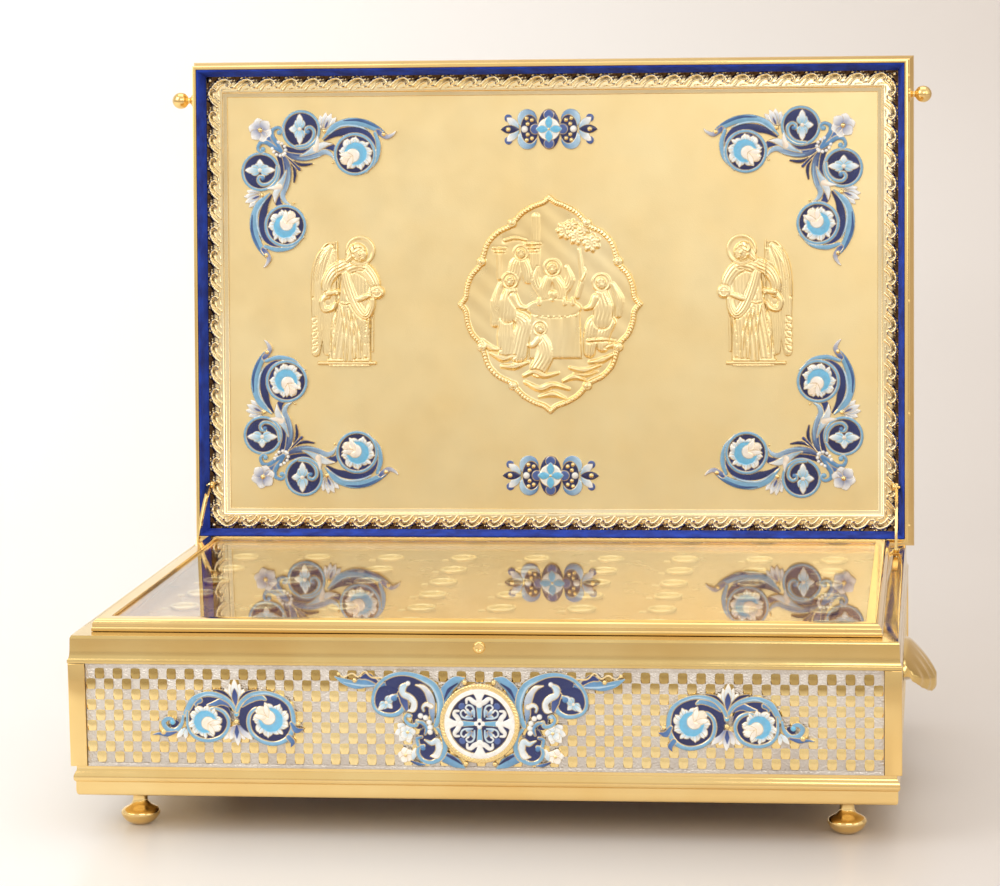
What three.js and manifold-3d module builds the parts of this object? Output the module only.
// Reliquary casket: a shallow gilt box with a glazed relic tray and a hinged lid that stands open.
// Millimetres, +Z up, front facing -Y, feet on z = 0.  Inside this file y' is the depth behind the front
// face of the corner posts; the whole casket group is then shifted by FRONT_Y.
import * as THREE from "three";
import { mergeVertices } from "three/addons/utils/BufferGeometryUtils.js";
import Module from "manifold-3d";

const wasm = await Module();
wasm.setup();

// ---------------------------------------------------------------- driving dimensions
const HALF_W = 270; // half width over the corner posts
const DEPTH = 367; // depth over the corner posts
const FRONT_Y = -210.6; // where the front face lies in the part's own frame
const GAP = 0.3; // between pieces that touch

const Z_PLINTH = 26.8; // underside of the plinth
const Z_PANEL = 46.9; // foot of posts and panels
const Z_CORNICE = 115.2; // underside of the cornice
const Z_LEDGE = 133.2; // top of the cornice
const POST = 11.1; // corner post, square
const PANEL_RECESS = 1.2; // panel face behind the post face
const PANEL_THICK = 2.0;
const WALL = 6; // carcass wall and floor
const FOOT = { height: 26.5, inset: 37, side: 36.2 };

const FRAME = { hx: 257.5, front: 15, rear: 341.4, top: 141.8 }; // glazing bead, outer rectangle
const TRAY = { z: 126.6, thick: 2.2 }; // relic plate
const CAPSULE = { radius: 10, height: 2.6, columns: 9, rows: 6, pitchX: 54.3, pitchY: 48, firstY: 59 };

const AXIS = { y: 366.6, z: 133.45 }; // hinge axis
const OPEN = 94.64; // swing of the lid from shut to resting open, degrees
const LID = { hx: 270.2, length: 359.6, wall: 2.7, inside: 26.2, top: 30.5 };
const LID_SHUT = { y: 366.1, z: 133.7 }; // hinge edge of the rim plane with the lid shut
const FIELD_MID = 179.3; // middle of the inner field, from the hinge edge
const FIELD_DEPTH = 18; // inner field behind the rim plane

const HINGE = { x: 175, radius: 3.2, knuckle: 12, leaf: 44, thick: 1.5, pin: 1.1, bore: 1.6 };
const STAY = { s: 41, t: 9, x: 261.4, thick: 2, half: 2.2, length: 61.2, rise: 4, bore: 1.5, drop: 40 };
const STAY_SLOT = { from: 252, to: 340, width: 4.2, depth: 3 };
const KNOB = { s: 334, t: 9, ball: 6.2, reach: 11.2 };

const deg = THREE.MathUtils.degToRad;

// ---------------------------------------------------------------- materials
const paint = (colour, roughness, metalness, extra = {}) => () =>
  new THREE.MeshStandardMaterial({ color: colour, roughness, metalness, ...extra });
const polished = paint(0xf2cf85, 0.12, 1);
const satin = paint(0xf0ce86, 0.3, 1);
const chased = paint(0xe6c274, 0.25, 1);
const silver = paint(0xdcd2c0, 0.35, 1);
const enamel = paint(0x2a6cb0, 0.2, 0);
const velvet = paint(0x17338a, 0.6, 0);
const glass = paint(0xf4fbf8, 0.03, 0, { transparent: true, opacity: 0.25 });
const inside = paint(0xb08a4a, 0.6, 0.4);

// ---------------------------------------------------------------- solids
// A closed mesh from points and triangles, turned so that its faces point outward.
function closed(points, triangles) {
  let volume = 0;
  const [a, b, c] = [new THREE.Vector3(), new THREE.Vector3(), new THREE.Vector3()];
  for (let i = 0; i < triangles.length; i += 3) {
    a.fromArray(points, 3 * triangles[i]);
    b.fromArray(points, 3 * triangles[i + 1]);
    c.fromArray(points, 3 * triangles[i + 2]);
    volume += a.dot(b.cross(c));
  }
  const order = volume < 0 ? triangles.toReversed() : triangles;
  const geometry = new THREE.BufferGeometry();
  geometry.setAttribute("position", new THREE.Float32BufferAttribute(points, 3));
  geometry.setIndex(order);
  return geometry;
}

// Points and triangles of a geometry, with shared vertices merged.
function welded(geometry) {
  const bare = geometry.index ? geometry.toNonIndexed() : geometry.clone();
  for (const name of Object.keys(bare.attributes)) if (name !== "position") bare.deleteAttribute(name);
  const merged = mergeVertices(bare, 1e-4);
  return closed(Array.from(merged.attributes.position.array), Array.from(merged.index.array));
}

function toSolid(geometry) {
  const g = welded(geometry);
  const vertProperties = new Float32Array(g.attributes.position.array);
  const triVerts = new Uint32Array(g.index.array);
  return new wasm.Manifold(new wasm.Mesh({ numProp: 3, vertProperties, triVerts }));
}

function toGeometry(solid) {
  const mesh = solid.getMesh();
  const geometry = new THREE.BufferGeometry();
  const points = [];
  for (let i = 0; i < mesh.numVert; i++)
    points.push(...mesh.vertProperties.subarray(i * mesh.numProp, i * mesh.numProp + 3));
  geometry.setAttribute("position", new THREE.Float32BufferAttribute(points, 3));
  geometry.setIndex(Array.from(mesh.triVerts));
  return geometry;
}

const join = (...parts) => toGeometry(parts.map(toSolid).reduce((a, b) => a.add(b)));
const cut = (body, ...tools) =>
  toGeometry(tools.map(toSolid).reduce((a, b) => a.subtract(b), toSolid(body)));

function box(x0, x1, y0, y1, z0, z1) {
  return new THREE.BoxGeometry(x1 - x0, y1 - y0, z1 - z0).translate(
    (x0 + x1) / 2, (y0 + y1) / 2, (z0 + z1) / 2);
}

// A rectangle grown by o on every side, with extra growth at its far edge.
const corners = (r, o, far = 0) => [
  [-r.hx - o, r.y0 - o], [r.hx + o, r.y0 - o], [r.hx + o, r.y1 + o + far], [-r.hx - o, r.y1 + o + far]];

// A moulding swept round a rectangle with mitred corners: profile points are [growth, z, far extra].
function moulding(rect, profile) {
  const points = [], triangles = [], n = profile.length;
  for (const [o, z, far = 0] of profile)
    for (const [x, y] of corners(rect, o, far)) points.push(x, y, z);
  for (let i = 0; i < n; i++)
    for (let j = 0; j < 4; j++) {
      const a = 4 * i + j, b = 4 * i + ((j + 1) % 4);
      const c = 4 * ((i + 1) % n) + j, d = 4 * ((i + 1) % n) + ((j + 1) % 4);
      triangles.push(a, b, d, a, d, c);
    }
  return closed(points, triangles);
}

// A block whose outline is a rectangle that grows and shrinks with height: levels are [growth, z].
function block(rect, levels) {
  const points = [], triangles = [], n = levels.length;
  for (const [o, z] of levels) for (const [x, y] of corners(rect, o)) points.push(x, y, z);
  for (let i = 0; i + 1 < n; i++)
    for (let j = 0; j < 4; j++) {
      const a = 4 * i + j, b = 4 * i + ((j + 1) % 4);
      triangles.push(a, b, b + 4, a, b + 4, a + 4);
    }
  const top = 4 * (n - 1);
  triangles.push(0, 2, 1, 0, 3, 2, top, top + 1, top + 2, top, top + 2, top + 3);
  return closed(points, triangles);
}

// A turned piece about the z axis; profile points are [radius, z].
function turned(profile, sides) {
  const outline = profile.map(([r, z]) => new THREE.Vector2(r, z));
  return welded(new THREE.LatheGeometry(outline, sides).rotateX(Math.PI / 2));
}

// A flat piece cut from an outline in x and y, between two heights.
function flat(outline, z0, z1, holes = []) {
  const shape = new THREE.Shape(outline.map(([x, y]) => new THREE.Vector2(x, y)));
  for (const hole of holes) shape.holes.push(new THREE.Path(hole.map(([x, y]) => new THREE.Vector2(x, y))));
  return new THREE.ExtrudeGeometry(shape, { depth: z1 - z0, bevelEnabled: false }).translate(0, 0, z0);
}

const circle = (x, y, r, sides) =>
  Array.from({ length: sides }, (_, i) => {
    const a = (2 * Math.PI * (i + 0.5)) / sides;
    return [x + r * Math.cos(a), y + r * Math.sin(a)];
  });

// The outline of a leaf that follows a curve, widest at `belly` along it and pointed at both ends.
function leaf(points, width, belly = 0.4, steps = 4) {
  const curve = new THREE.SplineCurve(points.map(([x, y]) => new THREE.Vector2(x, y)));
  const left = [], right = [];
  for (let i = 0; i <= steps; i++) {
    const t = i / steps;
    const bend = t < belly ? t / belly : (1 - t) / (1 - belly);
    const half = (width / 2) * Math.max(0.12, Math.sin((Math.PI / 2) * bend));
    const p = curve.getPoint(t), d = curve.getTangent(t);
    left.push([p.x - d.y * half, p.y + d.x * half]);
    right.push([p.x + d.y * half, p.y - d.x * half]);
  }
  return [...left, ...right.reverse()];
}

// A flat ornament joined from discs [x, y, r] and leaves [points, width, belly], mirrored by mx and my.
function ornament({ discs = [], leaves = [] }, z0, z1, mx = 1, my = 1, sides = 8) {
  const flip = (outline) => outline.map(([x, y]) => [mx * x, my * y]);
  return join(
    ...discs.map(([x, y, r]) => flat(flip(circle(x, y, r, sides)), z0, z1)),
    ...leaves.map(([p, w, b]) => flat(flip(leaf(p, w, b)), z0, z1)));
}

// A low relief on a flat back: an outline r(angle) about the centre, and a height over the back.
function relief(outline, height, around, rings, back) {
  const points = [], triangles = [];
  points.push(0, 0, back + height(0, 0));
  for (let i = 1; i <= rings; i++)
    for (let j = 0; j < around; j++) {
      const a = (2 * Math.PI * j) / around, r = (outline(a) * i) / rings;
      points.push(r * Math.cos(a), r * Math.sin(a), back + height(r * Math.cos(a), r * Math.sin(a)));
    }
  const at = (i, j) => 1 + (i - 1) * around + (j % around);
  for (let j = 0; j < around; j++) {
    triangles.push(0, at(1, j), at(1, j + 1));
    for (let i = 1; i < rings; i++)
      triangles.push(at(i, j), at(i + 1, j), at(i + 1, j + 1), at(i, j), at(i + 1, j + 1), at(i, j + 1));
  }
  const rim = points.length / 3;
  for (let j = 0; j < around; j++) {
    const k = 3 * at(rings, j);
    points.push(points[k], points[k + 1], back);
  }
  const hub = points.length / 3;
  points.push(0, 0, back);
  for (let j = 0; j < around; j++) {
    const u = rim + j, v = rim + ((j + 1) % around);
    triangles.push(at(rings, j), u, v, at(rings, j), v, at(rings, j + 1), u, hub, v);
  }
  return closed(points, triangles);
}

// ---------------------------------------------------------------- scene graph
const casket = new THREE.Group();
const base = new THREE.Group();
base.position.y = FRONT_Y;
const lid = new THREE.Group(); // x, s up from the hinge edge, z out of the open face
const swing = deg(OPEN);
const shutArm = [LID_SHUT.y - AXIS.y, LID_SHUT.z - AXIS.z];
lid.position.set(
  0,
  FRONT_Y + AXIS.y + shutArm[0] * Math.cos(swing) + shutArm[1] * Math.sin(swing),
  AXIS.z - shutArm[0] * Math.sin(swing) + shutArm[1] * Math.cos(swing));
lid.rotation.x = Math.PI - swing;
casket.add(base, lid);

function add(parent, name, geometry, material) {
  const mesh = new THREE.Mesh(geometry, material());
  mesh.name = name;
  mesh.geometry.computeVertexNormals();
  parent.add(mesh);
  return mesh;
}

// ---------------------------------------------------------------- base
const plan = { hx: HALF_W, y0: 0, y1: DEPTH };

const footProfile = [
  [0, 0], [5.5, 0], [9.8, 2.8], [12.5, 6.6], [12.85, 8.6], [11.2, 10.6], [6.2, 13], [4.9, 15.5],
  [5, 20.5], [8.8, 23], [10.4, 25], [10.4, FOOT.height], [0, FOOT.height]];
for (const [side, sx] of [["left", -1], ["right", 1]])
  for (const [end, y] of [["front", FOOT.inset], ["rear", DEPTH - FOOT.inset]])
    add(base, `foot_${end}_${side}`, turned(footProfile, 10), polished).position.set(
      sx * (HALF_W - FOOT.side), y, 0);

add(base, "plinth", moulding(plan, [
  [-58, Z_PLINTH], [-4.2, Z_PLINTH], [-2.9, 27.8], [-2.5, 31], [-2.7, 36.6], [-1.5, 37.4], [-1.2, 38.6],
  [-2.0, 42.6], [-2.9, 44], [-3.2, 46.6], [-58, 46.6]]), polished);

const insetWall = PANEL_RECESS + PANEL_THICK + GAP;
const bay = { hx: HALF_W - insetWall, y0: insetWall, y1: DEPTH - insetWall };
const notch = (sx, y) => {
  const x = sx * (HALF_W - POST - GAP);
  return box(Math.min(x, x + sx * 20), Math.max(x, x + sx * 20), y, y + 20, 0, 200);
};
const rearNotch = DEPTH - POST - GAP;
add(base, "carcass", cut(
  block(bay, [[0, Z_PANEL], [0, Z_CORNICE - GAP]]),
  box(-bay.hx + WALL, bay.hx - WALL, bay.y0 + WALL, bay.y1 - WALL, Z_PANEL + WALL, 200),
  ...[-1, 1].flatMap((sx) => [notch(sx, POST + GAP - 20), notch(sx, rearNotch)]),
), inside);

for (const [side, sx] of [["left", -1], ["right", 1]])
  for (const [end, y0] of [["front", 0], ["rear", DEPTH - POST]]) {
    const x0 = sx < 0 ? -HALF_W : HALF_W - POST;
    add(base, `post_${end}_${side}`,
      box(x0, x0 + POST, y0, y0 + POST, Z_PANEL, Z_CORNICE - GAP), polished);
  }

const panelSpan = { hx: HALF_W - POST - GAP, y0: POST + GAP, y1: DEPTH - POST - GAP };
const panelTop = Z_CORNICE - GAP;
const panelIn = PANEL_RECESS + PANEL_THICK;
add(base, "panel_front",
  box(-panelSpan.hx, panelSpan.hx, PANEL_RECESS, panelIn, Z_PANEL, panelTop), silver);
add(base, "panel_rear",
  box(-panelSpan.hx, panelSpan.hx, DEPTH - panelIn, DEPTH - PANEL_RECESS, Z_PANEL, panelTop), silver);
add(base, "panel_left",
  box(-HALF_W + PANEL_RECESS, -HALF_W + panelIn, panelSpan.y0, panelSpan.y1, Z_PANEL, panelTop), silver);
add(base, "panel_right",
  box(HALF_W - panelIn, HALF_W - PANEL_RECESS, panelSpan.y0, panelSpan.y1, Z_PANEL, panelTop), silver);

// Cornice: fillet, cove, tall fascia and a flat ledge, with a step inside that carries the relic plate.
const REAR_LEDGE = -11; // the ledge is this much deeper at the rear
const axisRod = (radius, half, sides = 12) =>
  new THREE.CylinderGeometry(radius, radius, 2 * half, sides).rotateZ(Math.PI / 2);
const mortise = HINGE.leaf / 2 - 2;
const slotX = STAY.x;
add(base, "cornice", cut(
  moulding(plan, [
    [-26, Z_CORNICE, REAR_LEDGE], [1.3, Z_CORNICE], [1.3, 118], [0.2, 118.7], [-0.9, 120.3], [-1.3, 122.6],
    [-1.6, 131.8], [-2.6, Z_LEDGE], [-20, Z_LEDGE, REAR_LEDGE], [-20, 126.3, REAR_LEDGE],
    [-26, 126.3, REAR_LEDGE]]),
  ...[-1, 1].flatMap((sx) => [
    axisRod(HINGE.radius + 0.6, mortise).translate(sx * HINGE.x, AXIS.y, AXIS.z),
    box(sx * slotX - STAY_SLOT.width / 2, sx * slotX + STAY_SLOT.width / 2,
      STAY_SLOT.from, STAY_SLOT.to, Z_LEDGE - STAY_SLOT.depth, Z_LEDGE + 5)]),
), polished);

add(base, "lock_boss", turned([
  [0, 0], [3.9, 0], [3.9, 1], [3.1, 1.8], [1.5, 1.9], [1.2, 1.2], [0, 1.2]], 10).rotateX(Math.PI / 2),
  polished).position.set(0, 1.25, 127.6);

// Hinges: knuckles on the axis, the pin fixed in the base's two outer knuckles.
const K = HINGE.knuckle, leafHalf = HINGE.leaf / 2;
for (const [side, sx] of [["left", -1], ["right", 1]]) {
  const tabs = [-1, 1].flatMap((end) => {
    const c = end * (K + 0.6);
    return [
      axisRod(HINGE.radius, K / 2, 10).translate(c, AXIS.y, AXIS.z),
      box(c - K / 2, c + K / 2, 366, 366 + HINGE.thick, 128, 132)];
  });
  add(base, `hinge_base_${side}`, join(
    ...tabs,
    axisRod(HINGE.pin, 1.5 * K, 8).translate(0, AXIS.y, AXIS.z),
    box(-leafHalf, leafHalf, 366, 366 + HINGE.thick, 122.9, 129.4),
  ), polished).position.x = sx * HINGE.x;
}

// Relic plate with its six rows of nine capsules.
const capsules = [];
for (let i = 0; i < CAPSULE.columns; i++)
  for (let j = 0; j < CAPSULE.rows; j++) {
    const x = (i - (CAPSULE.columns - 1) / 2) * CAPSULE.pitchX;
    const y = CAPSULE.firstY + j * CAPSULE.pitchY;
    const top = TRAY.z + TRAY.thick + CAPSULE.height;
    capsules.push(flat(circle(x, y, CAPSULE.radius, 6), TRAY.z + 1, top));
  }
const trayRect = { hx: HALF_W - 20 - GAP, y0: 20 + GAP, y1: DEPTH - 20 + REAR_LEDGE - GAP };
add(base, "relic_plate", join(
  box(-trayRect.hx, trayRect.hx, trayRect.y0, trayRect.y1, TRAY.z, TRAY.z + TRAY.thick),
  ...capsules), satin);

// Glazing frame, rebated underneath for the pane.
const frameRect = { hx: FRAME.hx, y0: FRAME.front, y1: FRAME.rear };
add(base, "glass_frame", moulding(frameRect, [
  [-8.4, Z_LEDGE + GAP], [0, Z_LEDGE + GAP], [0, 135.6], [-0.5, 136], [-0.5, 139], [-1.6, 140.7],
  [-3.6, FRAME.top], [-11, FRAME.top], [-11, 140.1], [-8.4, 140.1]]), polished);
const paneHalf = FRAME.hx - 8.4 - GAP;
add(base, "glass_pane", box(
  -paneHalf, paneHalf, FRAME.front + 8.4 + GAP, FRAME.rear - 8.4 - GAP, 136.6, 139.8), glass);

// Side handles: a cast leaf that curls outward and down, thinner toward its two ends.
const handleProfile = [
  [0, 99], [3, 98.6], [7, 95.4], [13, 88.6], [18.4, 81], [21.4, 75.6], [22.4, 72], [21.2, 66.5],
  [19.6, 63.5], [17.4, 66.5], [14, 71], [10, 72.6], [4, 72], [0, 71]];
const handleStations = [[-40, 0.25], [-34, 0.6], [-22, 0.88], [-8, 1], [8, 1], [22, 0.88], [34, 0.6], [40, 0.25]];
function handle() {
  const points = [], triangles = [], n = handleProfile.length, m = handleStations.length;
  for (const [y, size] of handleStations)
    for (const [u, z] of handleProfile) points.push(u * size, y, 84 + (z - 84) * size);
  for (let i = 0; i + 1 < m; i++)
    for (let j = 0; j < n; j++) {
      const a = i * n + j, b = i * n + ((j + 1) % n);
      triangles.push(a, b, b + n, a, b + n, a + n);
    }
  const outline = handleProfile.map(([u, z]) => new THREE.Vector2(u, z));
  const winding = Math.sign(THREE.ShapeUtils.area(outline));
  for (const cap of THREE.ShapeUtils.triangulateShape(outline, [])) {
    const same = Math.sign(THREE.ShapeUtils.area(cap.map((k) => outline[k]))) === winding;
    const [a, b, c] = same ? cap : cap.toReversed();
    const end = (m - 1) * n;
    triangles.push(end + a, end + b, end + c, a, c, b);
  }
  return closed(points, triangles);
}
for (const [side, turn] of [["right", 0], ["left", Math.PI]]) {
  const mesh = add(base, `handle_${side}`, handle(), chased);
  mesh.rotation.z = turn;
  mesh.position.set((turn ? -1 : 1) * (HALF_W - PANEL_RECESS + GAP), DEPTH / 2, 0);
}

// Enamelled mounts on the front panel, drawn in x and z about the middle of the panel.
const FRONT_MID = 78.6;
const mountFace = (name, geometry, material, y) => {
  const mesh = add(base, name, geometry, material);
  mesh.rotation.x = Math.PI / 2;
  mesh.position.set(0, y, FRONT_MID);
  return mesh;
};
const MOUNT = 1.9; // thickness
const wing = {
  discs: [[33, 14, 13.5], [47, 18, 12.5], [20, 18, 10], [33, -8, 9], [46, -13, 8.5], [24, -18, 9]],
  leaves: [
    [[[18, 22], [44, 28], [68, 25], [93, 28]], 11, 0.35], [[[24, -12], [27, -24], [44, -27]], 9, 0.4],
    [[[44, 12], [60, 6], [78, 15]], 12, 0.35], [[[26, 0], [44, -2], [60, -12]], 10, 0.4]]};
const mirror = ({ discs, leaves }) => ({
  discs: discs.map(([x, y, r]) => [-x, y, r]),
  leaves: leaves.map(([p, w, b]) => [p.map(([x, y]) => [-x, y]), w, b])});
const wings = { discs: [[0, 0, 25], ...wing.discs, ...mirror(wing).discs],
  leaves: [...wing.leaves, ...mirror(wing).leaves] };
mountFace("scroll_mount", ornament(wings, 0, MOUNT), enamel, PANEL_RECESS - GAP);
mountFace("roundel", turned([
  [0, 0], [26, 0], [26, 1.2], [24.6, 2], [22.6, 1.6], [5.4, 1.6], [3.2, 2.4], [0, 2.6]], 18),
  enamel, PANEL_RECESS - 2 * GAP - MOUNT);
const sprig = {
  discs: [[-177.3, -2, 13], [-135.6, 2.4, 14.6], [-157, -9, 7]],
  leaves: [
    [[[-157, -6], [-157.5, 10], [-157.7, 23]], 13, 0.5], [[[-184, 6], [-196, -8], [-215, -10]], 10, 0.4],
    [[[-170, 6], [-160, 14], [-140, 16]], 10, 0.5], [[[-140, -10], [-128, -8], [-113, 0]], 9, 0.4]]};
mountFace("sprig_left", ornament(sprig, 0, MOUNT), enamel, PANEL_RECESS - GAP);
mountFace("sprig_right", ornament(sprig, 0, MOUNT, -1), enamel, PANEL_RECESS - GAP);

// ---------------------------------------------------------------- lid
const rim = { hx: LID.hx, y0: 0, y1: LID.length };
const shelf = 20.3; // where the inner field rests
const axisS = AXIS.y - LID_SHUT.y, axisT = LID_SHUT.z - AXIS.z; // the axis seen from the lid
const atAxis = (g, x) => g.translate(x, -axisS, axisT);
add(lid, "lid_shell", cut(
  block(rim, [
    [0, 0], [0, -16.6], [1.1, -17.2], [2.2, -19.4], [3.6, -21.4], [4.2, -23.8], [3.4, -26.2], [0.4, -27.2],
    [-3, -28.6], [-17, -LID.top]]),
  block(rim, [[-LID.wall, 5], [-LID.wall, -shelf]]),
  block(rim, [[-9, -shelf + 1], [-9, -LID.inside]]),
  ...[-1, 1].map((sx) => atAxis(axisRod(HINGE.radius + 0.6, mortise), sx * HINGE.x)),
), polished);
add(lid, "lid_lining", moulding(rim, [
  [-3, -0.8], [-3, -14.4], [-7.6, -14.4], [-3.8, -0.8]]), velvet);
add(lid, "lid_border", moulding(rim, [
  [-7.9, -17.7], [-7.9, -16.4], [-10.4, -15], [-14.6, -14.2], [-18.8, -15], [-19.8, -16.3],
  [-23.3, -16.7], [-23.3, -17.7]]), chased);
add(lid, "lid_field", block(rim, [[-3, -FIELD_DEPTH], [-3, -20]]), satin);

for (const [side, sx] of [["left", -1], ["right", 1]]) {
  const tab = box(-K / 2, K / 2, -0.3 - HINGE.thick, -0.3, -5, -1.2);
  const leafBox = box(-leafHalf, leafHalf, -0.3 - HINGE.thick, -0.3, -13, -4);
  const knuckle = cut(
    join(atAxis(axisRod(HINGE.radius, K / 2, 10), 0), tab),
    atAxis(axisRod(HINGE.bore, K, 10), 0));
  add(lid, `hinge_lid_${side}`, join(knuckle, leafBox), polished).position.x = sx * HINGE.x;

  const knob = turned([
    [0, 0.3], [5, 0.3], [5, 1.7], [3.6, 2.6], [2.3, 3.4], [2.3, 5.4], [4.6, 6.9], [6.1, 9.8], [6.1, 12.6],
    [4.6, 15.4], [2.2, 17.1], [0, 17.4]], 10);
  const knobMesh = add(lid, `knob_${side}`, knob.rotateY((sx * Math.PI) / 2), polished);
  knobMesh.position.set(sx * LID.hx, KNOB.s, -KNOB.t);
}

// Lid stays: a curved link turning on a screw in the lid, its free end running in the ledge slot.
const stayCurve = (u) => 4 * STAY.rise * u * (1 - u);
const stayOutline = [];
for (const [from, to, half] of [[0, 1, 1], [1, 0, -1]])
  for (let i = 0; i <= 6; i++) {
    const u = from + ((to - from) * i) / 6;
    stayOutline.push([u * STAY.length, stayCurve(u) + half * STAY.half]);
  }
const round = (x, y, r) => circle(x, y, r, 10);
const link = cut(
  join(
    flat(stayOutline, 0, STAY.thick), flat(round(0, 0, 3.4), 0, STAY.thick),
    flat(round(STAY.length, 0, STAY.half), 0, STAY.thick)),
  flat(circle(0, 0, STAY.bore, 10), -1, STAY.thick + 1));
for (const [side, sx] of [["left", -1], ["right", 1]]) {
  const stay = new THREE.Group();
  stay.position.set(sx * STAY.x, STAY.s, -STAY.t);
  lid.add(stay);
  // In the stay's own frame x runs along the link and z across the casket.
  const mesh = add(stay, `stay_${side}`, link.clone(), polished);
  const along = deg(180 + STAY.drop); // direction of the link in the y'z plane at rest
  const tilt = swing - Math.PI; // turns the lid's frame back to the casket's
  const c = Math.cos(along), s = Math.sin(along);
  const world = new THREE.Matrix4().makeBasis(
    new THREE.Vector3(0, c, s), new THREE.Vector3(0, s, -c), new THREE.Vector3(-1, 0, 0));
  const placed = new THREE.Matrix4().makeRotationX(tilt).multiply(world);
  mesh.quaternion.setFromRotationMatrix(placed);
  mesh.position.x = STAY.thick / 2;

  // Head toward the middle of the lid, shank through the link to the lid's side.
  const screw = turned([
    [0, -3.5], [1.7, -3.4], [3.2, -2.6], [3.2, -1.3], [1.2, -1.3], [1.2, 2.4], [0, 2.4]], 10);
  const screwMesh = add(lid, `stay_screw_${side}`, screw.rotateY((sx * Math.PI) / 2), polished);
  screwMesh.position.set(sx * STAY.x, STAY.s, -STAY.t);
}

// Enamelled mounts on the inner field: four corners and two small ones.
const mountZ0 = -FIELD_DEPTH + GAP, mountZ1 = mountZ0 + 1.7;
const corner = {
  discs: [[190, 131, 15.2], [148, 113, 16.6], [222.7, 99.5, 14.6], [205, 58, 16.2], [221, 132, 8],
    [206, 113, 12]],
  leaves: [
    [[[205, 128], [176, 137], [150, 133], [116.5, 128.7]], 16, 0.45],
    [[[228, 108], [236, 80], [228, 52], [217.5, 27]], 18, 0.45],
    [[[206, 118], [214, 126], [222, 132]], 11, 0.5],
    [[[196, 122], [172, 128], [150, 120]], 12, 0.5], [[[222, 92], [224, 74], [212, 58]], 13, 0.5]]};
const quarters = [["left_top", -1, 1], ["right_top", 1, 1], ["left_bottom", -1, -1], ["right_bottom", 1, -1]];
for (const [where, mx, my] of quarters)
  add(lid, `corner_mount_${where}`, ornament(corner, mountZ0, mountZ1, mx, my), enamel)
    .position.y = FIELD_MID;
const spray = {
  discs: [[0, 0, 14.4], [15, 6, 9], [-15, 6, 9], [15, -6, 9], [-15, -6, 9], [28, 0, 8.4], [-28, 0, 8.4]],
  leaves: []};
for (const [where, dy] of [["top", 131.2], ["bottom", -130.8]])
  add(lid, `spray_${where}`, ornament(spray, mountZ0, mountZ1), enamel).position.y = FIELD_MID + dy;

// Medallion: a barbed oval with a raised rope rim and a seated group in low relief.
const MEDALLION = { hx: 69.6, hy: 82.2, rise: 4.2 };
const barbed = (a) => {
  const lobes = 1 / Math.hypot(Math.cos(a) / 63, Math.sin(a) / 72);
  const tip = (at, size, spread) => {
    const d = Math.abs(Math.atan2(Math.sin(a - at), Math.cos(a - at)));
    return size * Math.max(0, 1 - d / spread) ** 1.6;
  };
  const tips = tip(0, 6.6, 0.3) + tip(Math.PI, 6.6, 0.3) + tip(Math.PI / 2, 10.2, 0.3)
    + tip(-Math.PI / 2, 10.2, 0.3);
  const knots = [1, -1].flatMap((k) => [tip(k * 1.12, -3.6, 0.2), tip(k * 2.02, -3.6, 0.2),
    tip(k * 0.47, -2.6, 0.2), tip(k * 2.67, -2.6, 0.2)]);
  return lobes + tips + knots.reduce((p, q) => p + q, 0);
};
// Rounded masses [x, y, half width, half height, rise].
const group = [
  [0, 16, 8, 13, 2.4], [-31, 4, 11, 15, 2.4], [33, 5, 11, 15, 2.4], [-28, 22, 6, 6, 2.6], [2, 30, 6, 6, 2.6],
  [30, 22, 6, 6, 2.6], [-22, 42, 6, 10, 1.6], [28, 47, 14, 11, 1.8], [-2, -6, 20, 12, 1.6], [-8, -28, 10, 16, 2.4],
  [-30, -16, 11, 12, 1.8], [32, -14, 12, 12, 1.8], [0, -52, 34, 9, 1.8]];
const masses = (list) => (x, y) => list.reduce((h, [cx, cy, rx, ry, up]) => {
  const q = 1 - ((x - cx) / rx) ** 2 - ((y - cy) / ry) ** 2;
  return Math.max(h, q > 0 ? up * Math.sqrt(q) : 0);
}, 0);
const groupHeight = masses(group);
const medallionHeight = (x, y) => {
  const edge = Math.hypot(x, y) / barbed(Math.atan2(y, x));
  return edge > 0.91 ? 3.2 : 1.3 + groupHeight(x, y);
};
add(lid, "medallion", relief(barbed, medallionHeight, 36, 7, mountZ0), satin)
  .position.y = FIELD_MID - 1.1;

// Angels: a robed, winged figure turned toward the medallion, drawn about its own middle.
const ANGEL = { x: 156.5, s: 181 };
const angelOutline = [
  [29, -50], [-29, -50], [-28, -20], [-30, 0], [-29, 20], [-24, 33], [-14, 40], [-4, 44], [8, 50], [18, 50],
  [23, 40], [21, 28], [25, 16], [29, 4], [24, -8], [23, -24]];
const polygonRadius = (outline) => (a) => {
  const c = Math.cos(a), s = Math.sin(a);
  let best = 1;
  outline.forEach(([x0, y0], i) => {
    const [x1, y1] = outline[(i + 1) % outline.length];
    const dx = x1 - x0, dy = y1 - y0, det = dx * s - dy * c;
    if (Math.abs(det) < 1e-9) return;
    const k = (dx * y0 - dy * x0) / det, t = (c * y0 - s * x0) / det;
    if (k > 0 && t >= -1e-9 && t <= 1 + 1e-9) best = Math.max(best, k);
  });
  return best;
};
const angelHeight = masses([
  [12, 38, 8, 9, 3.4], [2, 12, 17, 26, 2.8], [0, -26, 24, 36, 2.4], [-20, 4, 9, 36, 2], [20, 8, 8, 9, 2.4]]);
for (const [side, sx] of [["left", 1], ["right", -1]]) {
  const outline = angelOutline.map(([x, y]) => [sx * x, y]);
  const height = (x, y) => 0.9 + angelHeight(sx * x, y);
  add(lid, `angel_${side}`, relief(polygonRadius(outline), height, 26, 5, mountZ0), satin)
    .position.set(-sx * ANGEL.x, ANGEL.s, 0);
}

export default casket;
